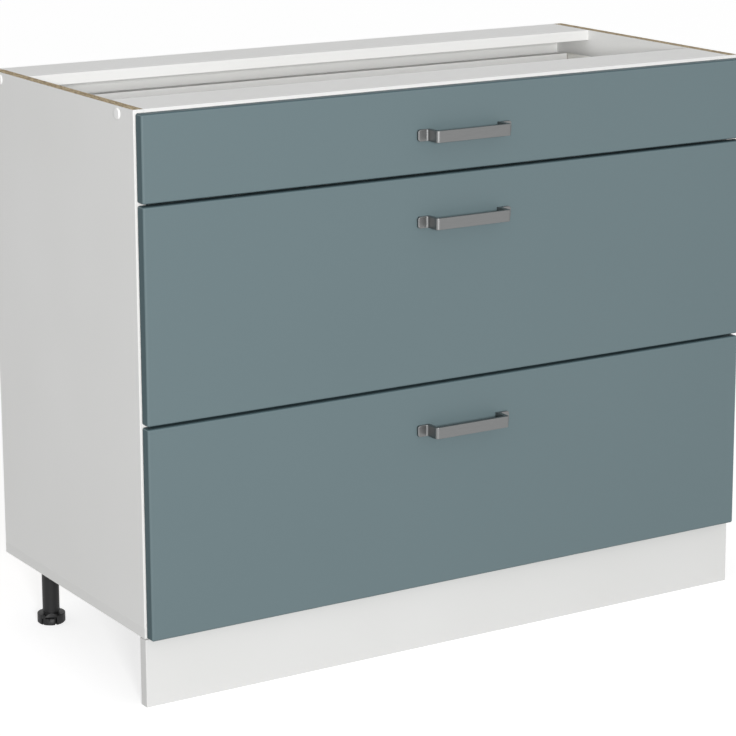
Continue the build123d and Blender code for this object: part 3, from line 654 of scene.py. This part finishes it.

# Matt plastic foil, drawn hot: an even blue-grey with a silky shine and a very fine grain.
# Painted shade: a darker blue-grey on each front's ends, top and bottom, which also shine less.
foil, tree, place = new_material("matt_thermofoil_blue_grey")
front_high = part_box("drawer_front_1")[1]
backing = front_high.y - backing_start
depth = add_node(tree, "SeparateXYZ", {"Vector": place}, "Y")
behind = add_node(tree, "Math", {0: depth, 1: backing}, operation="GREATER_THAN")
across = add_node(tree, "SeparateXYZ", {"Vector": place}, "X")
height = add_node(tree, "SeparateXYZ", {"Vector": place}, "Z")
flat = 0.0
for number in (1, 2, 3):
    low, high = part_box(f"drawer_front_{number}")
    reach = {0: height, 1: (low.z + high.z) / 2, 2: (high.z - low.z) / 2 - top_shade_inset}
    reach = add_node(tree, "Math", reach, operation="COMPARE")
    flat = add_node(tree, "Math", {0: flat, 1: reach}, operation="MAXIMUM")
reach = {0: across, 1: 0.0, 2: front_high.x - side_shade_inset}
reach = add_node(tree, "Math", reach, operation="COMPARE")
flat = add_node(tree, "Math", {0: flat, 1: reach}, operation="MULTIPLY")
drift = add_node(tree, "TexNoise", {"Vector": place, "Scale": 1 / front_drift, "Detail": 1.0})
colour = {0: drift, 6: linear(front_colour), 7: linear(front_shade)}
colour = add_node(tree, "Mix", colour, 2, data_type="RGBA")
# paints the shade colour outside each front's flat face
colour = {0: flat, 6: linear(front_painted_edge_shade), 7: colour}
colour = add_node(tree, "Mix", colour, 2, data_type="RGBA")
colour = {0: behind, 6: colour, 7: linear(backing_white)}
colour = add_node(tree, "Mix", colour, 2, data_type="RGBA")
grain = add_node(tree, "TexNoise", {"Vector": place, "Scale": 1 / front_grain, "Detail": 3.0})
bump = add_node(tree, "Bump", {"Height": grain, "Distance": front_depth, "Strength": 1.0})
sheen = {"Value": flat, "To Min": shaded_edge_sheen, "To Max": front_sheen}
sheen = add_node(tree, "MapRange", sheen)
shader = {"Base Color": colour, "Roughness": front_roughness, "Normal": bump}
shader["Specular IOR Level"] = sheen
add_node(tree, "OutputMaterial", {"Surface": add_node(tree, "BsdfPrincipled", shader)})

for number in (1, 2, 3):
    low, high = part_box(f"drawer_front_{number}")
    shape = bmesh.new()
    bmesh.ops.create_cube(shape, size=1)
    bmesh.ops.scale(shape, vec=high - low, verts=shape.verts)
    bmesh.ops.translate(shape, vec=(low + high) / 2, verts=shape.verts)
    face = [v for v in shape.verts if v.co.y < (low.y + high.y) / 2]
    rounds = [e for e in shape.edges if any(v in face for v in e.verts)]
    bevel = {"affect": "EDGES", "profile": 0.5, "material": -1}
    size = {"offset": front_rounding, "segments": front_round_segments}
    bmesh.ops.bevel(shape, geom=rounds, **size, **bevel)
    rear = [e for e in shape.edges if all(high.y - v.co.y < merge_reach for v in e.verts)]
    bmesh.ops.bevel(shape, geom=rear, offset=front_back_edge, segments=2, **bevel)
    add_piece(shape, f"foil_front_{number}", foil, "front_foil", f"drawer_front_{number}")

# ---- handles ----
# Die-cast zinc bows on two flat feet, plated with nickel and brushed along the bar. Two
# screws from behind the front hold each of them.
nickel_pale = "878888"
nickel_dark = "787979"
nickel_roughness = 0.36
nickel_unevenness = 0.06  # of the roughness, either way
stroke_length = 25 * mm
stroke_width = 0.6 * mm  # the strokes are 0.1 mm; drawn coarser, so that they show
stroke_depth = 0.01 * mm

# Brushed nickel plate: a neutral grey metal whose long fine strokes soften each reflection.
nickel, tree, place = new_material("brushed_satin_nickel")
strokes = {"Vector": place, "Scale": (1 / stroke_length, 1 / stroke_width, 1 / stroke_width)}
strokes = add_node(tree, "Mapping", strokes)
strokes = add_node(tree, "TexNoise", {"Vector": strokes, "Scale": 1.0, "Detail": 3.0})
colour = {0: strokes, 6: linear(nickel_dark), 7: linear(nickel_pale)}
colour = add_node(tree, "Mix", colour, 2, data_type="RGBA")
smoothest = nickel_roughness - nickel_unevenness
roughest = nickel_roughness + nickel_unevenness
rough = add_node(tree, "MapRange", {"Value": strokes, "To Min": smoothest, "To Max": roughest})
bump = add_node(tree, "Bump", {"Height": strokes, "Distance": stroke_depth, "Strength": 1.0})
shader = {"Base Color": colour, "Metallic": 1.0, "Roughness": rough, "Normal": bump}
add_node(tree, "OutputMaterial", {"Surface": add_node(tree, "BsdfPrincipled", shader)})

for number in (1, 2, 3):
    bow = merged_copy(f"handle_{number}")
    add_piece(bow, f"bow_handle_{number}", nickel, "satin_metal", f"handle_{number}")

# ---- drawer boxes ----
# Folded steel sides with the rails' powder coat, a bottom and a back of coated board, plated
# angles behind the front, and rods in cups above the sides of the deep drawers.
front_screw = {
    "head": 8 * mm,
    "head_height": 2.2 * mm,
    "rounding": 1.4 * mm,
    "shank": 4 * mm,
    "length": 21.2 * mm,
    "recess": cross(reach=2.2 * mm, width=0.9 * mm),
    "recess_depth": 1.2 * mm,
}
rivet_head = 3.5 * mm  # radius
rivet_dome = 1 * mm
rivet_shank = 2 * mm  # radius
rivet_grip = 4 * mm
rivet_tail = 3 * mm  # radius
rivet_length = 4.8 * mm
rivet_profile = [(0, 0), *rounded(rivet_head, 0, rivet_dome), (rivet_shank, -rivet_dome)]
rivet_profile += [(rivet_shank, -rivet_grip), (rivet_tail, -rivet_grip)]
rivet_profile += [(rivet_tail, -rivet_length), (0, -rivet_length)]

base_raw = [("Y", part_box("drawer_bottom_1")[1].y)]
base_finish = coated_board("melamine_chipboard_bases", "Z", melamine_whites, base_raw)
wall_raw = [("X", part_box("drawer_back_1")[1].x)]
wall_finish = coated_board("melamine_chipboard_backs", "Y", melamine_whites, wall_raw)
for number in (1, 2, 3):
    dress(base_finish, f"drawer_bottom_{number}")
    dress(wall_finish, f"drawer_back_{number}")
    for side in ("left", "right"):
        node = f"drawer_side_{side}_{number}"
        wall = merged_copy(node)
        add_piece(wall, f"folded_side_{side}_{number}", powder_coat, "coated_steel", node)
    node = f"front_brackets_{number}"
    add_piece(merged_copy(node), f"front_angles_{number}", zinc, "zinc_steel", node)
    node = f"handle_screws_{number}"
    screws = repeated(screw(**front_screw), head_spots(node))
    add_piece(screws, f"recessed_{node}", zinc, "zinc_steel", node)
    node = f"drawer_screws_{number}"
    spots = head_spots(node)
    box_screws = [spot for spot in spots if spot[2] > 2 * rivet_length]  # by their lengths
    rivets = [spot for spot in spots if spot[2] < 2 * rivet_length]
    screws = repeated(screw(**leg_screw), box_screws)
    add_piece(screws, f"recessed_{node}", zinc, "zinc_steel", node)
    rivets = repeated(turned(rivet_profile, screw_turns), rivets)
    add_piece(rivets, f"blind_rivets_{number}", zinc, "zinc_steel", node)
    if number > 1:
        node = f"gallery_rails_{number}"
        add_piece(merged_copy(node), f"rods_and_cups_{number}", powder_coat, "coated_steel", node)
